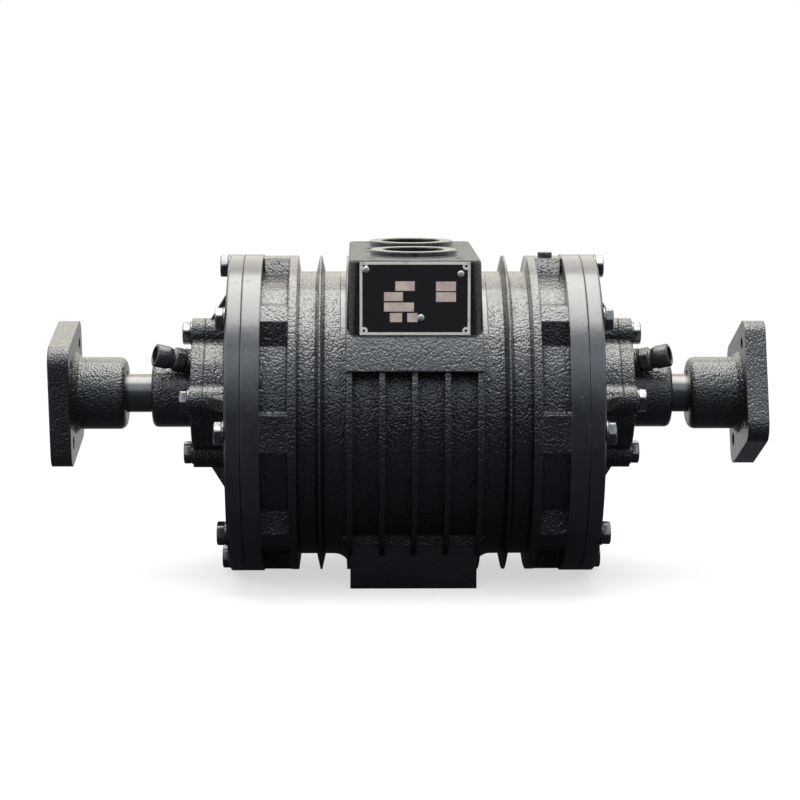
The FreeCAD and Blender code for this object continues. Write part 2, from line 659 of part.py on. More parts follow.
    shaft = shaft.cut(rod(side * shaft_end[side], side * (shaft_end[side] - end_bolt_length), end_bolt_r, 0, shaft_z))
    bearing_x = shaft_end[side] + end_washer_thickness
    end_washer = tube(side * shaft_end[side], side * bearing_x, end_washer_r, end_bolt_r, shaft_z)
    save(name + "_end_washer", end_washer)
    end_bolt = rod(side * bearing_x, side * (bearing_x - end_bolt_length), end_bolt_r, 0, shaft_z)
    end_bolt = end_bolt.fuse(hexagon(end_bolt_across_flats, side * bearing_x, side * (bearing_x + end_bolt_head), 0, shaft_z))
    save(name + "_end_bolt", end_bolt)

save("shaft", shaft)
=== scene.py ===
import json
import math
import bpy
import numpy as np
from mathutils import Euler, Matrix, Vector


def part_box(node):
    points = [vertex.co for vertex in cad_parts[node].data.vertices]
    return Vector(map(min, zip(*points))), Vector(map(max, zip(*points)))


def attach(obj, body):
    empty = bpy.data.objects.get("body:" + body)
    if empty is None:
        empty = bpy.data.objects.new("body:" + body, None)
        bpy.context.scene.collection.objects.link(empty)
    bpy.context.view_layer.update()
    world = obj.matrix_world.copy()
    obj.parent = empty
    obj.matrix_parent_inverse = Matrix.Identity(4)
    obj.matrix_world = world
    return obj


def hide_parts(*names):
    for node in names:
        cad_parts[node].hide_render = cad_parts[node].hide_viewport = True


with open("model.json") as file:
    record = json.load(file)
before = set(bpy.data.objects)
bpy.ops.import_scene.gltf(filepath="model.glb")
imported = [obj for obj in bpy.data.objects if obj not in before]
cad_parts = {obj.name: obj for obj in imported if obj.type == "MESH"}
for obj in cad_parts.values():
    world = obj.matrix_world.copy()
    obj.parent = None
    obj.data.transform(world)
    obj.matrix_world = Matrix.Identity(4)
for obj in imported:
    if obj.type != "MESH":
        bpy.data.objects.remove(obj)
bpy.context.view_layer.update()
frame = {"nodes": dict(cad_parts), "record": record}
scene = bpy.context.scene
print("frame loaded:", len(frame["nodes"]), "nodes")

# places and sizes are in metres and angles in degrees, here and below
cameraSettings = {"place": (-0.0499, -2.2827, 0.4619), "yaw": 0.98, "pitch": 7.55, "roll": 0.08, "lens": 112.67,
                  "sensor": 36.0, "farthest": 50}
lens = bpy.data.cameras.new("camera")
lens.lens = cameraSettings["lens"]
lens.sensor_width = cameraSettings["sensor"]
lens.clip_end = cameraSettings["farthest"]
camera = bpy.data.objects.new("camera", lens)
scene.collection.objects.link(camera)
# the camera rolls about its own axis, then pitches, then turns away from +Y by the yaw
roll = Matrix.Rotation(math.radians(cameraSettings["roll"]), 4, "Z")
pitchAndYaw = Euler((math.radians(90 - cameraSettings["pitch"]), 0, -math.radians(cameraSettings["yaw"])))
camera.matrix_world = Matrix.Translation(cameraSettings["place"]) @ pitchAndYaw.to_matrix().to_4x4() @ roll
scene.camera = camera

lampSettings = {
    "overhead": {"place": (0.0, 0.15, 1.5), "aim": (0, 0.1, 0.15), "size": (1.35, 1.35), "watts": 27,
                 "tint": (1.0, 0.985, 0.94)},
    "behind": {"place": (0.0, 1.6, 1.15), "aim": (0, 0, 0.25), "size": (2.2, 1.0), "watts": 7.0,
               "tint": (1.0, 0.96, 0.86)},
    "frontLeft": {"place": (-0.64, -1.35, 1.25), "aim": (-0.2, 0, 0.2), "size": (0.8, 0.9), "watts": 2.5,
                  "tint": (0.88, 0.94, 1.0)},
    "frontRight": {"place": (0.68, -1.35, 1.25), "aim": (0.2, 0, 0.2), "size": (0.8, 0.9), "watts": 1.9,
                   "tint": (0.88, 0.94, 1.0)},
    "leftEdge": {"place": (-1.7, -0.5, 1.1), "aim": (0, 0, 0.2), "size": (0.7, 0.9), "watts": 7.0,
                 "tint": (0.97, 0.98, 1.0)},
    "rightEdge": {"place": (1.7, -0.5, 1.1), "aim": (0, 0, 0.2), "size": (0.7, 0.9), "watts": 3.5,
                  "tint": (1.0, 0.99, 0.96)},
}
for lampName, setting in lampSettings.items():
    lampData = bpy.data.lights.new(lampName, "AREA")
    lampData.shape = "RECTANGLE"
    lampData.size, lampData.size_y = setting["size"]
    lampData.energy = setting["watts"]
    lampData.color = setting["tint"]
    lamp = bpy.data.objects.new(lampName, lampData)
    lamp.location = setting["place"]
    direction = Vector(setting["aim"]) - Vector(setting["place"])
    lamp.rotation_euler = direction.to_track_quat("-Z", "Y").to_euler()
    lamp.visible_camera = False
    scene.collection.objects.link(lamp)
print("camera and lamps placed")


class Wire:  # one socket of a finish; arithmetic on it adds Math nodes
    def __init__(self, finish, socket):
        self.finish = finish
        self.socket = socket

    def calc(self, operation, first, second=0.0):
        return self.finish.node("ShaderNodeMath", {"operation": operation}, {0: first, 1: second})

    def output(self, name):  # another output of the same node
        return Wire(self.finish, self.socket.node.outputs[name])

    def __add__(self, other):
        return self.calc("ADD", self, other)

    def __radd__(self, other):
        return self.calc("ADD", other, self)

    def __sub__(self, other):
        return self.calc("SUBTRACT", self, other)

    def __rsub__(self, other):
        return self.calc("SUBTRACT", other, self)

    def __mul__(self, other):
        return self.calc("MULTIPLY", self, other)

    def __rmul__(self, other):
        return self.calc("MULTIPLY", other, self)

    def __pow__(self, other):
        return self.calc("POWER", self, other)

    def __abs__(self):
        return self.calc("ABSOLUTE", self)

    def larger(self, other):
        return self.calc("MAXIMUM", self, other)

    def smaller(self, other):
        return self.calc("MINIMUM", self, other)

    def step(self, low, high):  # 0 below low, 1 above high, smooth between them
        return self.finish.node("ShaderNodeMapRange", {"interpolation_type": "SMOOTHSTEP"},
                                {"Value": self, "From Min": low, "From Max": high})

    def past(self, edge, fade):  # 1 from the edge on, 0 before it
        return self.step(edge - fade, edge)

    def within(self, edge, fade):  # 1 up to the edge, 0 after it
        return 1.0 - self.step(edge, edge + fade)


class Finish:  # the nodes of a material or of the world
    def __init__(self, owner):
        self.owner = owner
        self.owner.use_nodes = True
        self.tree = owner.node_tree
        self.tree.nodes.clear()

    # settings are set before the sockets, because some of them change which sockets there are
    def node(self, kind, settings=None, sockets=None, output=0):
        made = self.tree.nodes.new(kind)
        for key, value in (settings or {}).items():
            setattr(made, key, value)
        for key, value in (sockets or {}).items():
            if isinstance(value, Wire):
                self.tree.links.new(value.socket, made.inputs[key])
            else:
                made.inputs[key].default_value = value
        return Wire(self, made.outputs[output]) if len(made.outputs) else None

    def place(self):
        return self.node("ShaderNodeTexCoord", output="Object")

    def axes(self, vector):
        across = self.node("ShaderNodeSeparateXYZ", None, {0: vector})
        return across, across.output(1), across.output(2)

    def stretched(self, vector, scale):
        return self.node("ShaderNodeMapping", {"vector_type": "POINT"}, {"Vector": vector, "Scale": scale})

    def noise(self, vector, scale, detail=2.0, roughness=0.5, distortion=0.0):
        return self.node("ShaderNodeTexNoise", {"noise_dimensions": "3D"},
                         {"Vector": vector, "Scale": scale, "Detail": detail, "Roughness": roughness,
                          "Distortion": distortion})

    def mix(self, factor, low, high):  # a colour: low where factor is 0, high where it is 1
        return self.node("ShaderNodeMix", {"data_type": "RGBA"}, {0: factor, 6: low, 7: high}, output=2)

    def softNormal(self, radius):
        return self.node("ShaderNodeBevel", {"samples": 6}, {"Radius": radius})

    def edges(self, rounded):  # how far the rounded normal leans away from the true one, which is only near edges
        true = self.node("ShaderNodeNewGeometry", output="Normal")
        return 1.0 - self.node("ShaderNodeVectorMath", {"operation": "DOT_PRODUCT"}, {0: rounded, 1: true},
                               output="Value")

    def bump(self, height, normal):
        return self.node("ShaderNodeBump", None,
                         {"Height": height, "Distance": 1.0, "Strength": 1.0, "Normal": normal})

    def output(self, shader, kind="ShaderNodeOutputMaterial"):
        self.node(kind, None, {"Surface": shader})
        return self.owner

    def surface(self, **sockets):
        named = {key.replace("_", " "): value for key, value in sockets.items()}
        return self.output(self.node("ShaderNodeBsdfPrincipled", None, named))


def newFinish(name):
    return Finish(bpy.data.materials.new(name))


def tone(red, green, blue):
    return (red, green, blue, 1.0)


axisHeight = 0.148  # of the cylinder and its bolt circles
shaftHeight = 0.166

# In all the settings of finishes, a noise is its scale, detail, roughness and distortion, in that order, or starts
# with the detail where its scale is given apart. A step is where it starts and where it ends.
paintSettings = {
    "lumps": (85.0, 3.0, 0.55), "patches": (30.0, 4.0, 0.6), "patchStep": (0.48, 0.72),
    "glossNoise": (60.0, 4.0, 0.6), "grain": (3.0, 0.58, 0.3), "grainShare": 0.6, "cellScale": 1.25, "cellShare": 0.55,
    "edgeStep": (0.05, 0.25), "chips": (130.0, 4.0, 0.7), "chipStep": (0.5, 0.64), "chipShare": 0.35,
    "chipTone": tone(0.12, 0.118, 0.115), "chipMetal": 0.4, "coat": 0.35,
    "shader": {"IOR": 1.6, "Specular_IOR_Level": 1.0, "Coat_Roughness": 0.12},
}
castSettings = {
    "castBlack": {"edge": 0.0020, "grainScale": 350, "grainRise": 0.00112, "lumpRise": 0.0008,
                  "gloss": (0.16, 0.30), "paint": tone(0.0018, 0.0023, 0.0038), "thin": tone(0.0045, 0.0050, 0.0062)},
    "castCover": {"edge": 0.0018, "grainScale": 420, "grainRise": 0.00120, "lumpRise": 0.0008,
                  "gloss": (0.14, 0.27), "paint": tone(0.0020, 0.0025, 0.0039), "thin": tone(0.0050, 0.0055, 0.0066)},
    "forgedBlack": {"edge": 0.0024, "grainScale": 400, "grainRise": 0.00120, "lumpRise": 0.0008,
                    "gloss": (0.20, 0.36), "paint": tone(0.0022, 0.0027, 0.0042),
                    "thin": tone(0.0080, 0.0080, 0.0090)},
}
# the couplings' outer faces keep this share of the grain from this distance off their middle line on
turnedSettings = {"middle": -0.00375, "from": 0.3224, "share": 0.12}
# zones of the housing's castings, as distances from its middle and heights above the ground
zoneSettings = {
    "block": {"half": 0.0645, "above": 0.2325, "footTop": 0.037, "share": 0.3},
    "blockTop": {"from": 0.2966, "to": 0.2976, "grain": 1.2, "dull": 0.30},
    "shoulder": {"half": 0.0640, "above": 0.196, "share": 0.95, "dull": 0.07},
    "boss": {"from": 0.092, "to": 0.1335, "half": 0.0172, "above": 0.258, "curve": 15.0},
    "rim": {"from": 0.1344, "radius": 0.1431, "lines": (2400.0, 2.0, 0.6), "along": 0.03, "lineRise": 0.00003,
            "scuffs": (210.0, 3.0, 0.65), "scuffStep": (0.62, 0.74), "scuffDepth": 0.00016, "patchStep": (0.4, 0.7),
            "patchRise": 0.0005, "deep": tone(0.007, 0.009, 0.014), "pale": tone(0.015, 0.017, 0.022),
            "gloss": 0.27, "dull": 0.12},
}


# The housing's castings by zone: the port block's flanks and the foot are smoother, the block's top is dull with no
# clear coat, and the shoulder below the block is a little dull. The top bolt bosses bulge: their height falls as the
# square of the rise above a level. The turned rims have fine lines round the axis in place of the grain.
def housingZones(finish, place, patches, height, roughness, colour):
    across, back, up = finish.axes(place)
    block, top, shoulder = (zoneSettings[zone] for zone in ("block", "blockTop", "shoulder"))
    boss, rim = zoneSettings["boss"], zoneSettings["rim"]
    middle = abs(across).within(block["half"], fade=0.001)
    face = middle * up.past(top["from"], fade=0.0004) * up.within(top["to"], fade=0.0004)
    flanks = middle * (up.past(block["above"], fade=0.002) + up.within(block["footTop"], fade=0.003)) * (1.0 - face)
    below = abs(across).within(shoulder["half"], fade=0.001) * up.past(shoulder["above"], fade=0.001)
    below = below * (1.0 - flanks) * (1.0 - face)
    height = height * (1.0 - flanks * (1 - block["share"]))
    height = height * (1.0 - below * (1 - shoulder["share"])) * (1.0 + face * top["grain"])
    roughness = roughness + face * top["dull"] + below * shoulder["dull"]
    coat = paintSettings["coat"] * (1.0 - face)

    bossMask = abs(across).past(boss["from"], fade=0.001) * abs(across).within(boss["to"], fade=0.0005)
    bossMask = bossMask * abs(back).within(boss["half"], fade=0.0005)
    rise = (up - boss["above"]).larger(0.0)
    height = height - bossMask * rise * rise * boss["curve"]

    reach = (back * back + (up - axisHeight) * (up - axisHeight)) ** 0.5
    rimMask = abs(across).past(rim["from"], fade=0.0002) * reach.past(rim["radius"], fade=0.0003)
    lines = finish.noise(finish.stretched(place, (1.0, rim["along"], rim["along"])), *rim["lines"])
    scuffs = finish.noise(place, *rim["scuffs"]).step(*rim["scuffStep"])
    colour = finish.mix(rimMask, colour, finish.mix(patches.step(*rim["patchStep"]), rim["deep"], rim["pale"]))
    rimRoughness = rim["gloss"] + patches * rim["dull"] + scuffs * rim["dull"]
    roughness = roughness * (1.0 - rimMask) + rimMask * rimRoughness
    rimHeight = lines * rim["lineRise"] + patches * rim["patchRise"] - scuffs * rim["scuffDepth"]
    height = height * (1.0 - rimMask) + rimMask * rimHeight
    return height, roughness, colour, coat


# Gloss black paint over rough iron: sharp grains a few millimetres apart on wide low lumps, worn thin at the edges.
def castPaint(name):
    own, paint = castSettings[name], paintSettings
    finish = newFinish(name)
    place = finish.place()
    lumps = finish.noise(place, *paint["lumps"])
    cells = finish.node("ShaderNodeTexVoronoi", {"feature": "F1"},
                        {"Vector": place, "Scale": own["grainScale"] * paint["cellScale"]}, output="Distance")
    grains = finish.noise(place, own["grainScale"], *paint["grain"]) * paint["grainShare"]
    grains = grains - cells * cells * paint["cellShare"]
    patches = finish.noise(place, *paint["patches"])
    rounded = finish.softNormal(own["edge"])
    chips = finish.noise(place, *paint["chips"]).step(*paint["chipStep"])
    worn = finish.edges(rounded).step(*paint["edgeStep"]) * chips
    colour = finish.mix(patches.step(*paint["patchStep"]), own["paint"], own["thin"])
    colour = finish.mix(worn * paint["chipShare"], colour, paint["chipTone"])
    low, high = own["gloss"]
    roughness = low + (high - low) * finish.noise(place, *paint["glossNoise"])
    height = grains * own["grainRise"] + lumps * own["lumpRise"]
    coat = paint["coat"]
    if name == "forgedBlack":
        across, _, _ = finish.axes(place)
        outer = abs(across - turnedSettings["middle"]).past(turnedSettings["from"], fade=0.0003)
        height = height * (1.0 - outer * (1 - turnedSettings["share"]))
    if name == "castBlack":
        height, roughness, colour, coat = housingZones(finish, place, patches, height, roughness, colour)
    return finish.surface(Base_Color=colour, Roughness=roughness, Metallic=worn * paint["chipMetal"],
                          Coat_Weight=coat, Normal=finish.bump(height, rounded), **paint["shader"])


# lines holds the scale of the fine marks and how far they are drawn out round the shaft: the smaller, the further
metalSettings = {
    "shaftSteel": {"light": tone(0.19, 0.19, 0.185), "dark": tone(0.10, 0.10, 0.098), "gloss": (0.26, 0.40),
                   "lines": (3200.0, 0.02), "relief": 0.00002, "edge": 0.0005, "spots": 0.12},
    "darkBolt": {"light": tone(0.24, 0.24, 0.245), "dark": tone(0.09, 0.09, 0.095), "gloss": (0.18, 0.32),
                 "lines": (900.0, 1.0), "relief": 0.00005, "edge": 0.0007, "spots": 0.5},
    "bareIron": {"light": tone(0.36, 0.35, 0.34), "dark": tone(0.22, 0.215, 0.21), "gloss": (0.32, 0.48),
                 "lines": (2200.0, 0.03), "relief": 0.00003, "edge": 0.0008, "spots": 0.3},
    "bearingSteel": {"light": tone(0.70, 0.70, 0.70), "dark": tone(0.56, 0.56, 0.56), "gloss": (0.10, 0.18),
                     "lines": (3600.0, 0.02), "relief": 0.00001, "edge": 0.0004, "spots": 0.05},
    "cageBrass": {"light": tone(0.70, 0.50, 0.24), "dark": tone(0.46, 0.31, 0.13), "gloss": (0.24, 0.36),
                  "lines": (2400.0, 0.05), "relief": 0.00002, "edge": 0.0004, "spots": 0.3},
    "dullCopper": {"light": tone(0.055, 0.047, 0.040), "dark": tone(0.026, 0.023, 0.020), "gloss": (0.34, 0.5),
                   "lines": (1400.0, 1.0), "relief": 0.00003, "edge": 0.0004, "spots": 0.5},
    "rivetMetal": {"light": tone(0.85, 0.84, 0.81), "dark": tone(0.58, 0.57, 0.55), "gloss": (0.36, 0.48),
                   "lines": (1200.0, 1.0), "relief": 0.00003, "edge": 0.0004, "spots": 0.3},
}
markSettings = {"marks": (3.0, 0.65), "markShare": 0.25, "spots": (150.0, 4.0, 0.7), "spotStep": (0.50, 0.70),
                "spotDull": 0.25}


# Worked metal: fine marks, and dull spots that darken it.
def bareMetal(name):
    own, shared = metalSettings[name], markSettings
    finish = newFinish(name)
    place = finish.place()
    scale, drawn = own["lines"]
    marks = finish.noise(finish.stretched(place, (1.0, drawn, drawn)), scale, *shared["marks"])
    spots = finish.noise(place, *shared["spots"]).step(*shared["spotStep"]) * own["spots"]
    rounded = finish.softNormal(own["edge"])
    low, high = own["gloss"]
    colour = finish.mix(spots + marks * shared["markShare"], own["light"], own["dark"])
    return finish.surface(Base_Color=colour, Roughness=low + (high - low) * marks + spots * shared["spotDull"],
                          Metallic=1.0, Normal=finish.bump(marks * own["relief"], rounded))


plainSettings = {
    "gasketFibre": {"light": tone(0.014, 0.014, 0.013), "dark": tone(0.006, 0.006, 0.006), "gloss": (0.7, 0.9),
                    "scale": 700.0, "relief": 0.0001, "edge": 0.0006, "wear": 0.0},
    "sealRubber": {"light": tone(0.020, 0.020, 0.020), "dark": tone(0.010, 0.010, 0.010), "gloss": (0.45, 0.6),
                   "scale": 500.0, "relief": 0.00003, "edge": 0.0006, "wear": 0.0},
    "vaneLaminate": {"light": tone(0.36, 0.24, 0.12), "dark": tone(0.17, 0.10, 0.045), "gloss": (0.45, 0.6),
                     "scale": 260.0, "relief": 0.00008, "edge": 0.0006, "wear": 0.0},
    "blackFitting": {"light": tone(0.028, 0.031, 0.034), "dark": tone(0.012, 0.014, 0.016), "gloss": (0.20, 0.34),
                     "scale": 300.0, "relief": 0.0003, "edge": 0.0012, "wear": 1.0},
}
grainSettings = {"grain": (4.0, 0.6), "patchScale": 0.12, "patch": (3.0, 0.6), "patchStep": (0.3, 0.7),
                 "edgeStep": (0.06, 0.22), "chips": (160.0, 3.0, 0.6), "chipStep": (0.36, 0.52),
                 "bared": tone(0.45, 0.44, 0.42), "specular": 0.9}


# Two close tones in wide patches under a fine grain; wear bares metal at the sharpest edges.
def plainFinish(name):
    own, shared = plainSettings[name], grainSettings
    finish = newFinish(name)
    place = finish.place()
    grain = finish.noise(place, own["scale"], *shared["grain"])
    patch = finish.noise(place, own["scale"] * shared["patchScale"], *shared["patch"])
    rounded = finish.softNormal(own["edge"])
    chips = finish.noise(place, *shared["chips"]).step(*shared["chipStep"])
    worn = finish.edges(rounded).step(*shared["edgeStep"]) * chips * own["wear"]
    low, high = own["gloss"]
    colour = finish.mix(patch.step(*shared["patchStep"]), own["dark"], own["light"])
    return finish.surface(Base_Color=finish.mix(worn, colour, shared["bared"]),
                          Roughness=low + (high - low) * grain, Metallic=worn,
                          Normal=finish.bump(grain * own["relief"], rounded), Specular_IOR_Level=shared["specular"])


plateLow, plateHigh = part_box("nameplate")
plateSettings = {
    "frame": 0.0023, "holeInset": 0.0037, "holeRing": 0.0032,
    # blank fields as low x, low z, high x, high z, from the plate's middle line and the ground
    "fields": [(-0.0171, 0.2708, -0.00035, 0.27895), (0.01815, 0.2705, 0.0354, 0.2787),
               (-0.0269, 0.26185, -0.0105, 0.2695), (0.01815, 0.2612, 0.0354, 0.2694),
               (-0.0269, 0.2528, -0.0010, 0.2605), (-0.0218, 0.2436, -0.01125, 0.2514),
               (-0.0067, 0.2436, 0.0022, 0.2514)],
    "ink": tone(0.010, 0.0085, 0.011), "scuffed": tone(0.09, 0.08, 0.08), "scuffs": (420.0, 4.0, 0.7),
    "scuffAcross": 3.0, "scuffStep": (0.58, 0.76), "scuffShare": 0.4, "smear": (75.0, 4.0, 0.65),
    "blank": tone(0.66, 0.51, 0.49), "blankWorn": tone(0.80, 0.70, 0.58), "blankStep": (0.4, 0.66), "blankDull": 0.1,
    "metal": tone(0.86, 0.85, 0.80), "metalDirt": tone(0.30, 0.29, 0.27), "dirtStep": (0.52, 0.7), "dirtShare": 0.5,
    "metallic": 0.25, "metalRise": 0.00012, "scuffRise": 0.00003, "gloss": 0.36, "scuffDull": 0.14, "edge": 0.0003,
}


# Etched sheet: a bare frame and bare rings round the corner holes on an inked ground, with blank bare fields.
# Each field is a box of x and z.
def nameplateFinish(name):
    plate = plateSettings
    finish = newFinish(name)
    place = finish.place()
    across, _, up = finish.axes(place)

    # 1 inside the box, 0 outside: the least of the four distances to its sides
    def boxMask(lowX, lowZ, highX, highZ, soft=0.00018):
        inX = (across - lowX).smaller(highX - across)
        inZ = (up - lowZ).smaller(highZ - up)
        return inX.smaller(inZ).step(-soft, soft)

    fields = boxMask(*plate["fields"][0])
    for box in plate["fields"][1:]:
        fields = fields.larger(boxMask(*box))
    inset = plate["frame"]
    inner = boxMask(plateLow.x + inset, plateLow.z + inset, plateHigh.x - inset, plateHigh.z - inset)
    sideways = abs(across) - (plateHigh.x - plate["holeInset"])
    upwards = abs(up - (plateHigh.z + plateLow.z) / 2) - ((plateHigh.z - plateLow.z) / 2 - plate["holeInset"])
    fromHole = (sideways * sideways + upwards * upwards) ** 0.5
    ring = 1.0 - fromHole.step(plate["holeRing"] - 0.0002, plate["holeRing"] + 0.0002)
    scuffs = finish.noise(finish.stretched(place, (1.0, 1.0, plate["scuffAcross"])), *plate["scuffs"])
    smear = finish.noise(place, *plate["smear"])
    ground = finish.mix(scuffs.step(*plate["scuffStep"]) * plate["scuffShare"], plate["ink"], plate["scuffed"])
    blank = finish.mix(smear.step(*plate["blankStep"]), plate["blank"], plate["blankWorn"])
    metal = finish.mix(smear.step(*plate["dirtStep"]) * plate["dirtShare"], plate["metal"], plate["metalDirt"])
    bare = fields.larger(1.0 - inner).larger(ring)
    relief = bare * plate["metalRise"] + scuffs * plate["scuffRise"]
    return finish.surface(Base_Color=finish.mix(bare, ground, finish.mix(fields, metal, blank)),
                          Roughness=plate["gloss"] + scuffs * plate["scuffDull"] + fields * plate["blankDull"],
                          Metallic=bare * plate["metallic"],
                          Normal=finish.bump(relief, finish.softNormal(plate["edge"])))


finishes = {name: castPaint(name) for name in castSettings}
finishes.update({name: bareMetal(name) for name in metalSettings})
finishes.update({name: plainFinish(name) for name in plainSettings})
finishes["plateMetal"] = nameplateFinish("plateMetal")
slotFinish = {
    "black_casting": "castBlack", "black_machined": "castBlack", "bare_iron": "bareIron",
    "shaft_steel": "shaftSteel", "dark_bolt": "darkBolt", "bearing_steel": "bearingSteel",
    "cage_brass": "cageBrass", "gasket_fibre": "gasketFibre", "seal_rubber": "sealRubber",
    "vane_composite": "vaneLaminate", "black_fitting": "blackFitting", "copper_washer": "dullCopper",
    "plate_metal": "plateMetal", "rivet_metal": "rivetMetal",
}
ownFinish = {"left_bearing_cover": "castCover", "right_bearing_cover": "castCover",
             "left_coupling": "forgedBlack", "right_coupling": "forgedBlack"}
for part in frame["record"]["subparts"]:
    node = frame["nodes"][part["node"]]
    finishName = ownFinish.get(part["node"]) or slotFinish[part["material_slot"]]
    node.data.materials.clear()
    node.data.materials.append(finishes[finishName])
print("finishes made:", len(finishes))

white = tone(1, 1, 1)
floorSettings = {"radius": 14.0, "rings": 24, "around": 96, "growth": 2.2, "near": 0.30, "far": 1.1,
                 "pale": tone(0.36, 0.36, 0.36), "glow": 0.60, "dark": tone(0.016, 0.018, 0.026),
                 # the share of the floor that gloss mirrors near the object, and at its sides and behind it
                 "mirrored": (0.02, 0.5), "sides": (0.5, 0.85), "behind": (0.15, 0.45)}


# which rays see the white background: those from the camera and through clear pieces, and mirrored ones by a share
def backgroundSeen(finish, mirrored):
    cameraRay = finish.node("ShaderNodeLightPath", output="Is Camera Ray")
    glossyRay = cameraRay.output("Is Glossy Ray")
    return cameraRay.larger(cameraRay.output("Is Transmission Ray")).larger(glossyRay * mirrored)


def stagePiece(name, points, faces, material):
    mesh = bpy.data.meshes.new(name)
    mesh.from_pydata(points, [], faces)
    mesh.materials.append(material)
    piece = bpy.data.objects.new(name, mesh)
    scene.collection.objects.link(piece)
    return piece


# A flat disc of rings; each ring's radius grows as a power of its number.
def paleFloor():
    rings, around = floorSettings["rings"], floorSettings["around"]
    radii = floorSettings["radius"] * (np.arange(1, rings + 1) / rings) ** floorSettings["growth"]
    angles = np.linspace(0, 2 * np.pi, around, endpoint=False)
    points = np.zeros((rings, around, 3))
    points[..., 0] = radii[:, None] * np.cos(angles)
    points[..., 1] = radii[:, None] * np.sin(angles)
    points = np.vstack([points.reshape(-1, 3), [[0, 0, 0]]])
    ring, column = np.meshgrid(np.arange(rings - 1), np.arange(around), indexing="ij")
    right = (column + 1) % around
    quads = np.stack([ring * around + column, (ring + 1) * around + column, (ring + 1) * around + right,
                      ring * around + right], -1).reshape(-1, 4)
    middle = np.stack([np.full(around, rings * around), np.arange(around), (np.arange(around) + 1) % around], -1)

    finish = newFinish("floorPale")
    distance = finish.node("ShaderNodeVectorMath", {"operation": "LENGTH"}, {0: finish.place()}, output="Value")
    across, back, _ = finish.axes(finish.place())
    low, high = floorSettings["mirrored"]
    away = abs(across).step(*floorSettings["sides"]).larger(back.step(*floorSettings["behind"]))
    seen = backgroundSeen(finish, low + (high - low) * away)
    dark = finish.node("ShaderNodeBsdfDiffuse", None, {"Color": floorSettings["dark"]})
    lit = finish.node("ShaderNodeBsdfDiffuse", None, {"Color": floorSettings["pale"]})
    glow = finish.node("ShaderNodeEmission", None, {"Color": white, "Strength": floorSettings["glow"]})
    pale = finish.node("ShaderNodeAddShader", None, {0: lit, 1: glow})
    plain = finish.node("ShaderNodeEmission", None, {"Color": white, "Strength": 1.0})
    close = finish.node("ShaderNodeMixShader", None, {0: seen, 1: dark, 2: pale})
    wide = finish.node("ShaderNodeMixShader", None, {0: seen, 1: dark, 2: plain})
    outwards = distance.step(floorSettings["near"], floorSettings["far"])
    material = finish.output(finish.node("ShaderNodeMixShader", None, {0: outwards, 1: close, 2: wide}))
    floor = stagePiece("floor", points.tolist(), quads.tolist() + middle.tolist(), material)


wallSettings = {"light": 0.85, "back": 0.95, "front": (0.045, 0.60), "rise": (0.05, 0.8), "behind": (-0.05, 0.4),
                "frontTint": tone(0.76, 0.87, 1.0), "backTint": tone(1.0, 0.955, 0.86)}


# The camera sees a white world. Gloss mirrors walls that are bright behind the object, and dim in front of it and
# lighter with height.
def studioWalls():
    scene.world = bpy.data.worlds.new("studio")
    finish = Finish(scene.world)
    _, back, up = finish.axes(finish.node("ShaderNodeTexCoord", output="Generated"))
    behind = back.step(*wallSettings["behind"])
    low, high = wallSettings["front"]
    walls = (low + (high - low) * up.step(*wallSettings["rise"])) * (1.0 - behind) + behind * wallSettings["back"]
    mirrored = finish.node("ShaderNodeLightPath", output="Is Glossy Ray")
    seen = backgroundSeen(finish, 0.0)
    strength = seen + (1.0 - seen) * (mirrored * walls + (1.0 - mirrored) * wallSettings["light"])
    wallTint = finish.mix(behind, wallSettings["frontTint"], wallSettings["backTint"])
    tint = finish.mix(mirrored * (1.0 - seen), white, wallTint)
    background = finish.node("ShaderNodeBackground", None, {"Color": tint, "Strength": strength})
    finish.output(background, "ShaderNodeOutputWorld")


cardSettings = {"low": (-0.24, 0.0), "high": (0.34, 2.0), "back": -2.75, "tone": tone(0.01, 0.01, 0.01)}


# a narrow dark card behind the camera that only gloss mirrors
def darkCard():
    (lowX, lowZ), (highX, highZ), back = cardSettings["low"], cardSettings["high"], cardSettings["back"]
    corners = [(lowX, back, lowZ), (highX, back, lowZ), (highX, back, highZ), (lowX, back, highZ)]
    finish = newFinish("cardBlack")
    material = finish.output(finish.node("ShaderNodeBsdfDiffuse", None, {"Color": cardSettings["tone"]}))
    card = stagePiece("darkCard", corners, [(3, 2, 1, 0)], material)
    card.visible_camera = card.visible_diffuse = card.visible_shadow = False


paleFloor()
studioWalls()
darkCard()
scene.view_settings.view_transform = "Standard"
print("floor and background made")


# rows of x and radius, each one number or one for every angle, carried round the X axis
def carriedRound(rows, angles):
    x, radius = (np.array([np.broadcast_to(value, angles.shape) for value in column]) for column in zip(*rows))
    return np.stack([x, radius * np.cos(angles), radius * np.sin(angles)], -1).reshape(-1, 3)


def fullTurn(columns):
    return np.linspace(0, 2 * np.pi, columns, endpoint=False)


# corner numbers of a grid whose columns close on themselves, and whose rows do too when loop is set
def gridQuads(rows, columns, loop=False):
    row, column = np.meshgrid(np.arange(rows if loop else rows - 1), np.arange(columns), indexing="ij")
    below = (row + 1) % rows
    right = (column + 1) % columns
    return np.stack([below * columns + column, below * columns + right, row * columns + right,
                     row * columns + column], -1).reshape(-1, 4)


# triangles from one ring to its pole
def poleFaces(ringStart, columns, pole, outward):
    here = ringStart + np.arange(columns)
    there = ringStart + (np.arange(columns) + 1) % columns
    first, second = (here, there) if outward else (there, here)
    return np.stack([first, second, np.full(columns, pole)], -1)


# the rows' quads with a fan of triangles to a pole at each end; the two poles follow the rows' points
def closedFaces(rows, columns):
    pole = rows * columns
    return [gridQuads(rows, columns), poleFaces(0, columns, pole, False),
            poleFaces(pole - columns, columns, pole + 1, True)]


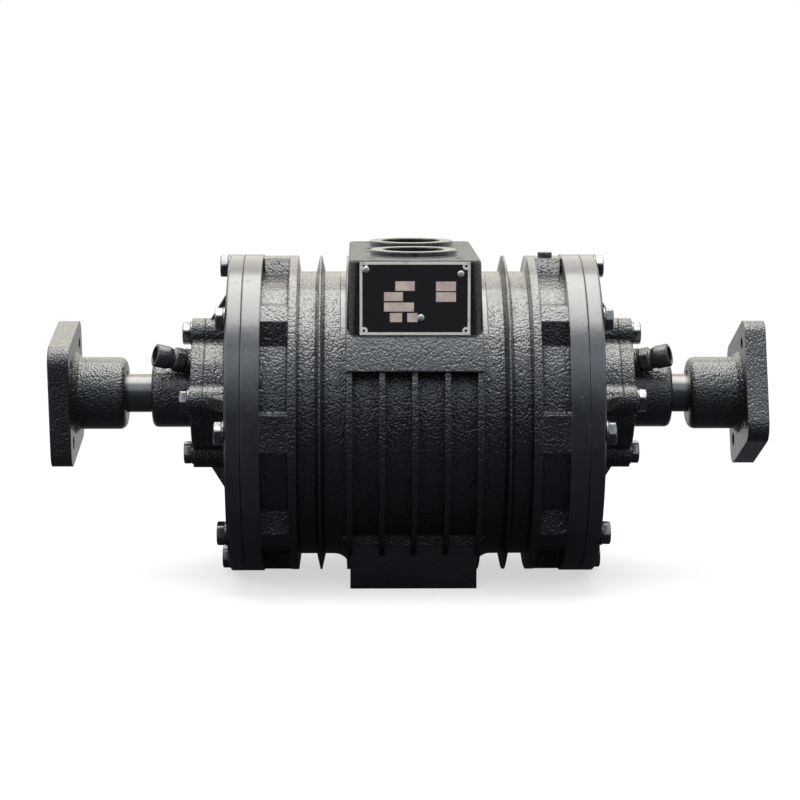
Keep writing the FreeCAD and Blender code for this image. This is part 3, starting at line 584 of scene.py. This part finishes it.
# one set of points moved to many spots, each a 3 by 3 turn and a shift
def placedCopies(points, faces, spots):
    turns = np.array([turn for turn, shift in spots])
    shifts = np.array([shift for turn, shift in spots])
    allPoints = np.einsum("nij,pj->npi", turns, points) + shifts[:, None, :]
    starts = (np.arange(len(spots)) * len(points))[:, None, None]
    allFaces = []
    for face in faces:
        allFaces += (face[None] + starts).reshape(-1, face.shape[1]).tolist()
    return allPoints.reshape(-1, 3), allFaces


sharpAngle = math.radians(35)  # edges that turn more than this stay sharp


def finished(name, points, faces, body, slotName, *replaced):
    mesh = bpy.data.meshes.new(name)
    mesh.from_pydata(points.tolist(), [], faces)
    mesh.validate()
    mesh.materials.append(finishes[slotFinish[slotName]])
    piece = bpy.data.objects.new(name, mesh)
    scene.collection.objects.link(piece)
    mesh.shade_smooth()
    mesh.set_sharp_from_angle(angle=sharpAngle)
    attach(piece, body)
    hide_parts(*replaced)


# distance to a hexagon's side at each angle, with its corners slightly cut off
def hexRadius(angles, acrossFlats, cornerShare=0.97):
    sixth = np.mod(angles + math.pi / 6, math.pi / 3) - math.pi / 6
    return np.minimum(acrossFlats / 2 / np.cos(sixth), acrossFlats / math.sqrt(3) * cornerShare)


boltSettings = {"columns": 72, "across": 0.019, "head": 0.0072, "shank": 0.006, "chamfer": 30.0, "flatShare": 0.94,
                "tip": 0.0008, "fillet": (0.0006, 0.0004), "dish": 0.00025, "dishShares": (0.86, 0.78, 0.4),
                "rim": {"length": 0.038, "circle": 0.1345, "count": 8},
                "cap": {"length": 0.034, "circle": 0.055, "count": 4}}


# A bolt along +X with its head bearing at x 0. Line by line, its rows are the shank's broken end, the fillet under
# the head, the head's underside, its six sides, the cone that cuts their upper corners at an angle, and the flat top
# with a shallow dish.
def hexBolt(length):
    columns, acrossFlats, head, shank, tip, dish = (
        boltSettings[key] for key in ("columns", "across", "head", "shank", "tip", "dish"))
    angles = fullTurn(columns)
    side = hexRadius(angles, acrossFlats)
    flatTop = acrossFlats / 2 * boltSettings["flatShare"]
    slope = math.tan(math.radians(boltSettings["chamfer"]))
    coneEdge = head - slope * np.maximum(side - flatTop, 0)
    underEdge = 0.0004 + 0.3 * np.maximum(side - acrossFlats / 2, 0)
    bearing = 0.985 * np.minimum(side, acrossFlats / 2 * 1.02)
    filletLength, filletWidth = boltSettings["fillet"]
    dishRim, dishFoot, dishMiddle = (flatTop * share for share in boltSettings["dishShares"])
    rows = [
        (-length, shank - tip), (-length + tip, shank),
        (-filletLength, shank), (0, shank + filletWidth),
        (0, bearing), (underEdge, side),
        (underEdge * 0.4 + coneEdge * 0.6, side), (coneEdge - 0.0002, side),
        (coneEdge + 0.0001, side - 0.0001), (head - 0.00012, flatTop + 0.00005),
        (head, flatTop - 0.0004), (head, dishRim), (head - dish, dishFoot), (head - dish, dishMiddle),
    ]
    poles = [[-length, 0, 0], [head - dish, 0, 0]]
    return np.vstack([carriedRound(rows, angles), poles]), closedFaces(len(rows), columns)


# a closed outline of (x, r) corners carried round the X axis
def turnedRing(outline, columns=64):
    return carriedRound(outline, fullTurn(columns)), [gridQuads(len(outline), columns, loop=True)]


# y and z of points spaced evenly on a circle, the first of them at its top
def onCircle(count, radius, height):
    angles = np.radians(90.0 + 360.0 * np.arange(count) / count)
    return np.stack([radius * np.cos(angles), height + radius * np.sin(angles)], -1)


# turns a piece made along +X to point along side * X, after a roll about its own axis
def sideTurn(side, roll):
    cosine, sine = math.cos(roll), math.sin(roll)
    rolled = np.array([[1, 0, 0], [0, cosine, -sine], [0, sine, cosine]])
    return np.diag([side, side, 1.0]) @ rolled


sides = (("left", -1), ("right", 1))
luck = np.random.default_rng(7)
washerSettings = {"outer": 0.011, "inner": 0.0065, "thick": 0.0018, "edge": 0.0003}


# A flat ring with all four edges broken.
def plainWasher():
    outer, inner, thick, edge = (washerSettings[key] for key in ("outer", "inner", "thick", "edge"))
    return turnedRing([(0, inner + edge), (0, outer - edge), (edge, outer), (thick - edge, outer),
                       (thick, outer - edge), (thick, inner + edge), (thick - edge, inner), (edge, inner)])


for sideName, side in sides:
    for label, centre in (("rim", axisHeight), ("cap", shaftHeight)):
        circle = boltSettings[label]
        washerNode = f"{sideName}_{label}_washers"
        low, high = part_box(washerNode)
        seat = low.x if side > 0 else high.x
        places = onCircle(circle["count"], circle["circle"], centre)
        underHead = seat + side * washerSettings["thick"]
        spots = [(sideTurn(side, luck.uniform(0, math.pi / 3)), (underHead, y, z)) for y, z in places]
        points, faces = placedCopies(*hexBolt(circle["length"]), spots)
        finished(f"{sideName}_{label}_screws", points, faces, "housing", "dark_bolt", f"{sideName}_{label}_bolts")
        spots = [(sideTurn(side, 0), (seat, y, z)) for y, z in places]
        points, faces = placedCopies(*plainWasher(), spots)
        finished(f"{sideName}_{label}_plain_washers", points, faces, "housing", "dark_bolt", washerNode)
print("bolts and washers made")

nippleSettings = {"y": -0.027, "z": 0.0325, "forward": 20.0, "up": 15.0, "stand": 0.0065, "washer": 0.0015,
                  "hex": 0.0085, "across": 0.020, "flatShare": 0.95, "chamfer": 0.577, "barrel": 0.018,
                  "neck": 0.0090, "end": 0.0105, "bore": 0.0073, "oilway": 0.0035, "shank": 0.0065,
                  "shankLength": 0.010, "columns": 72}


# A hose nipple along +X: an outline turned round the axis for the neck, the flared barrel and the bore, and a
# hexagon outline carried through eight rows for the nut. The barrel's radius eases from the neck's to the end's.
def hoseNipple():
    neck, end, bore, oilway, shank, columns = (
        nippleSettings[key] for key in ("neck", "end", "bore", "oilway", "shank", "columns"))
    start = nippleSettings["washer"]
    foot = start - nippleSettings["shankLength"]
    nutTop = start + nippleSettings["hex"]
    tip = nutTop + nippleSettings["barrel"]
    flareFrom, flareTo = nutTop + 0.0015, tip - 0.0115
    flare = np.linspace(0, 1, 7)
    ease = flare * flare * (3 - 2 * flare)
    barrel = list(zip(flareFrom + (flareTo - flareFrom) * flare, neck + (end - neck) * ease))
    # the shank with its broken end and the neck, then the barrel, its rounded lip, the bore and the oilway
    outline = [(foot, oilway), (foot, shank - 0.0006), (foot + 0.0006, shank), (start + 0.0005, shank),
               (start + 0.001, neck), (nutTop + 0.0008, neck + 0.0003)]
    outline += barrel
    outline += [(tip - 0.0015, end), (tip - 0.0006, end - 0.0004), (tip, end - 0.0015), (tip, bore + 0.0005),
                (tip - 0.0005, bore), (nutTop + 0.001, bore), (nutTop, oilway)]
    points, faces = turnedRing(outline, columns)
    angles = fullTurn(columns)
    side = hexRadius(angles, nippleSettings["across"])
    flat = nippleSettings["across"] / 2 * nippleSettings["flatShare"]
    drop = nippleSettings["chamfer"] * np.maximum(side - flat, 0)
    rows = [(start + 0.0005, shank - 0.0002), (start, neck + 0.0002), (start, flat), (start + drop * 0.6, side),
            (nutTop - drop, side), (nutTop, flat), (nutTop, neck), (nutTop - 0.0008, shank - 0.0002)]
    nutFaces = gridQuads(len(rows), columns, loop=True) + len(points)
    return np.vstack([points, carriedRound(rows, angles)]), faces + [nutFaces]


for sideName, side in sides:
    low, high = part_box(f"{sideName}_cap_washers")
    capX = low.x if side > 0 else high.x
    forward, up = (math.tan(math.radians(nippleSettings[key])) for key in ("forward", "up"))
    lean = Vector((side, -forward, up)).normalized()
    turn = np.array(Vector((1, 0, 0)).rotation_difference(lean).to_matrix())
    seat = (capX + side * nippleSettings["stand"], nippleSettings["y"], shaftHeight + nippleSettings["z"])
    points, faces = placedCopies(*hoseNipple(), [(turn, seat)])
    finished(f"{sideName}_hose_nipple", points, faces, "housing", "black_fitting", f"{sideName}_oil_nipple")
print("hose nipples made")

# left, right and low are how far in from the plate's upper corners, and from its middle line and lower edge
rivetSettings = {"head": 0.003, "rise": 0.0011, "shank": 0.0016, "length": 0.008, "tip": 0.0008, "blunt": 0.9,
                 "columns": 40, "left": (0.0054, 0.0065), "right": (0.0083, 0.0104), "low": (0.0052, 0.0151)}


# A rivet along +X. On its dome the height goes with an angle's sine, and the radius with a power of its cosine.
def domedRivet():
    head, rise, shank, columns = (rivetSettings[key] for key in ("head", "rise", "shank", "columns"))
    foot = rivetSettings["tip"] - rivetSettings["length"]
    lift = np.radians([4, 18, 34, 50, 66, 80])
    rows = [(foot, shank), (-0.0001, shank), (0, shank + 0.0001), (0, head - 0.0001)]
    rows += list(zip(rise * np.sin(lift), head * np.cos(lift) ** rivetSettings["blunt"]))
    poles = [[foot, 0, 0], [rise, 0, 0]]
    return np.vstack([carriedRound(rows, fullTurn(columns)), poles]), closedFaces(len(rows), columns)


left, right, low = (rivetSettings[key] for key in ("left", "right", "low"))
rivetPlaces = [(plateLow.x + left[0], plateHigh.z - left[1]), (plateHigh.x - right[0], plateHigh.z - right[1]),
               (low[0], plateLow.z + low[1])]
towardsFront = np.array([[0.0, 1.0, 0.0], [-1.0, 0.0, 0.0], [0.0, 0.0, 1.0]])
spots = [(towardsFront, (x, plateLow.y, z)) for x, z in rivetPlaces]
points, faces = placedCopies(*domedRivet(), spots)
finished("domed_rivets", points, faces, "housing", "rivet_metal", "nameplate_rivets")
print("rivets made")
